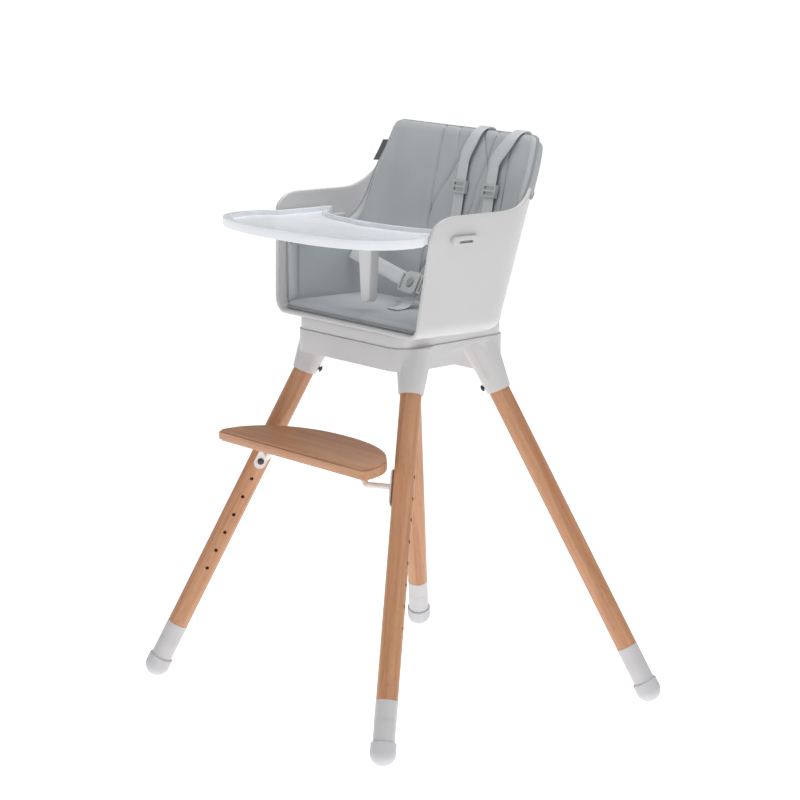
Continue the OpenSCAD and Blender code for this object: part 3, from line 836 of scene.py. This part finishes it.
def make_cover():
    """The pocket that slips over the back: down behind the shell to its hem."""
    columns = [s for s in column_numbers(120, 30, 60)
               if rim_height(s, LINER_INSET, liner_front, liner_rim) > cover_hem(s) + 2]
    outer, inner = [], []
    for share in np.linspace(0, 1, 40):
        outer_row, inner_row = [], []
        for s in columns:
            rim = rim_height(s, LINER_INSET, liner_front, liner_rim) + 0.3
            hem = cover_hem(s)
            bend = math.pi / 2 * smooth_step(0.86, 1.0, share)
            z = hem + (rim - hem) * share
            wrinkle = 0.25 * math.sin(s * 40 + share * 5) * (1 - share)
            inset = LINER_INSET * math.sin(bend) - 1.6 - 1.2 * math.cos(bend) - wrinkle
            outer_row.append((*plan(s, z, inset, shell_front), z))
            below = z - 1.2 * math.sin(bend)
            inner_row.append((*plan(s, below, inset + 1.9, shell_front), below))
        outer.append(outer_row)
        inner.append(inner_row)
    cover = closed_pad("back_cover_pocket", outer, inner, COVER)
    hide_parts("back_cover")
    place(cover, "chair")
    hem_line = [(x, y, z) for x, y, z in outer[0]]
    place(tube("back_cover_hem", hem_line, 1.6, PIPING), "chair")
    place(stitches("back_cover_hem_stitch", [(x, y + 0.6, z + 7) for x, y, z in outer[0]], THREAD),
          "chair")


def make_tag():
    """A plain folded tag sewn into the left edge of the back."""
    left = [s for s in column_numbers(120, 30, 60) if s < 0]
    out = Vector((-0.62, -0.78, 0))
    near, far = [], []
    for s in left:
        z = rim_height(s, LINER_INSET, liner_front, liner_rim)
        if 872 < z < 910:
            edge = Vector((*plan(s, z, LINER_INSET + 1.5, liner_front), z))
            near.append(edge)
            far.append(edge + out * 11)
    thick = Vector((-0.78, 0.62, 0)) * 0.6
    outer = [[tuple(p - thick) for p in row] for row in (near, far)]
    inner = [[tuple(p + thick) for p in row] for row in (near, far)]
    tag = closed_pad("plain_tag", outer, inner, LABEL)
    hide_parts("side_tag")
    place(tag, "chair")


# ---------- harness ----------

STRAP_W = 25
STRAP_T = 1.7
STRAP_XS = (26, 104)
STRAP_SPREAD = (20, 34)     # how far each shoulder strap has wandered outwards at the top of the back
SPREAD_FROM = 888           # above the highest place of the slides
STRAP_SIDE = [(133, 842), (146, 866), (153, 905), (156, 934), (151, 944.2), (140, 946), (127, 940),
              (119.2, 925), (111.6, 888), (107.6, 868), (104, 850), (86, 760), (68, 712), (60, 702)]


BUCKLE_TILT = math.radians(62)
WAIST_RISE = math.radians(11)       # how far the waist straps rise towards the hips


def across_x(_share):
    return Vector((1, 0, 0))


def strap_x(index, z):
    return STRAP_XS[index] + STRAP_SPREAD[index] * smooth_step(SPREAD_FROM, 945, z)


def make_harness():
    for index, side in enumerate(("left", "right")):
        side_view = curved([(0, y, z) for y, z in STRAP_SIDE], 140)
        path = [Vector((strap_x(index, p.z), p.y, p.z)) for p in side_view]
        strap = ribbon(f"shoulder_webbing_{side}", path, across_x, STRAP_W, STRAP_T, WEBBING)
        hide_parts(f"shoulder_strap_{side}")
        place(strap, "chair")
        for name, offset in (("inner", -10), ("outer", 10)):
            line = [(strap_x(index, z) + offset, 119.2 - (925 - z) * 0.2 - 1.1, z)
                    for z in np.linspace(918, 885, 20)]
            place(stitches(f"shoulder_stitch_{side}_{name}", line, THREAD, 2.4, 1.4, 0.3),
                  "chair")


def buckle_point(x, y, z):
    """A point in the buckle's own frame, in millimetres."""
    return Vector((20 + x, 16 + y * math.cos(BUCKLE_TILT) - z * math.sin(BUCKLE_TILT),
                   690 + y * math.sin(BUCKLE_TILT) + z * math.cos(BUCKLE_TILT)))


def make_waist():
    up = Vector((0, math.cos(BUCKLE_TILT), math.sin(BUCKLE_TILT)))
    paths = {"left": [(-26, 8), (-36, 5), (-62, -6), (-95, -18), (-140, -10), (-200, 3)],
             "right": [(26, 8), (36, 5), (62, -8), (92, -19), (128, -14), (160, -6)]}
    for side, flat in paths.items():
        sign = -1 if side == "left" else 1
        points = []
        for x, z in flat:
            along = x * math.cos(WAIST_RISE)
            lift = abs(x) * math.sin(WAIST_RISE)
            points.append(tuple(buckle_point(along, lift, z)))
        slant = Vector((sign * -math.sin(WAIST_RISE), 0, 0)) + up * math.cos(WAIST_RISE)
        strap = ribbon(f"waist_webbing_{side}", curved(points, 90), lambda share, w=slant: w,
                       STRAP_W, STRAP_T, WEBBING)
        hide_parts(f"waist_strap_{side}")
        place(strap, "chair")
    low = 655.4
    crotch = [(20, -34, low), (20, -14, low + 0.8), (20, -1, low + 8), (20, 5.0, low + 17)]
    strap = ribbon("crotch_webbing", curved(crotch, 40), across_x, STRAP_W, STRAP_T, WEBBING)
    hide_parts("crotch_strap")
    place(strap, "chair")


# ---------- everything else ----------

def make_hard_parts():
    hard_parts = [
        ("base_housing", "base_moulding", WHITE, 1.6, "chair", "white_plastic"),
        ("seat_adapter", "adapter_moulding", WHITE, 1.4, "chair", "white_plastic"),
        ("tray_latch_left", "latch_lever_left", WHITE, 1.6, "latch_left", "white_plastic"),
        ("tray_latch_right", "latch_lever_right", WHITE, 1.6, "latch_right", "white_plastic"),
        ("tray_rail_left", "rail_left", WHITE, 0.8, "chair", "white_plastic"),
        ("tray_rail_right", "rail_right", WHITE, 0.8, "chair", "white_plastic"),
        ("crotch_post", "post_moulding", WHITE, 2.6, "tray", "white_plastic"),
        ("tray", "tray_moulding", TRAY_WHITE, 2.2, "tray", "white_plastic"),
        ("buckle_body", "buckle_case", BUCKLE, 1.6, "chair", "buckle_plastic"),
        ("buckle_button", "buckle_press_button", BUTTON, 0.6, "button", "grey_plastic"),
        ("buckle_tongue_left", "tongue_left", BUCKLE, 0.8, "chair", "buckle_plastic"),
        ("buckle_tongue_right", "tongue_right", BUCKLE, 0.8, "chair", "buckle_plastic"),
        ("seat_slot_plate", "slot_plate", BUCKLE, 0.5, "chair", "buckle_plastic"),
        ("strap_adjuster_left", "slide_left", BUCKLE, 0.9, "adjuster_left", "buckle_plastic"),
        ("strap_adjuster_right", "slide_right", BUCKLE, 0.9, "adjuster_right", "buckle_plastic"),
        ("rod_clips", "clips", WHITE, 1.0, "footrest", "white_plastic"),
        ("footrest_board", "board", BOARD_WOOD, 4.5, "footrest", "beech"),
    ]
    for node, name, material, width, body, slot_name in hard_parts:
        place(bevelled(node, name, material, width), body)
    for node in NODES:
        if node.startswith("leg_sleeve_"):
            carry_over([node], WHITE)
        elif node.startswith("foot_cap_"):
            carry_over([node], GREY_FOOT)
        elif node.startswith("leg_"):
            low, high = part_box(node)
            left = low[0] + high[0] < 0
            rear = low[1] + high[1] > 0
            way = (-0.31 if left else 0.31, 0.31 if rear else -0.33, -0.895)
            carry_over([node], beech(f"{node}_beech", way))
    carry_over(["adapter_screws", "latch_pins", "strap_anchors", "post_screws"], STEEL)
    carry_over(["socket_screws", "footrest_screws_left", "footrest_screws_right"], DARK_STEEL)
    carry_over(["footrest_bracket_left", "footrest_bracket_right"], WHITE_STEEL)
    for name in list(NODES):
        NODES[name].data.shade_smooth()
        NODES[name].data.set_sharp_from_angle(angle=math.radians(35))


make_camera()
make_studio()
make_shell()
make_liner()
make_seat_pad()
make_cover()
make_seams()
make_tag()
make_harness()
make_waist()
make_hard_parts()
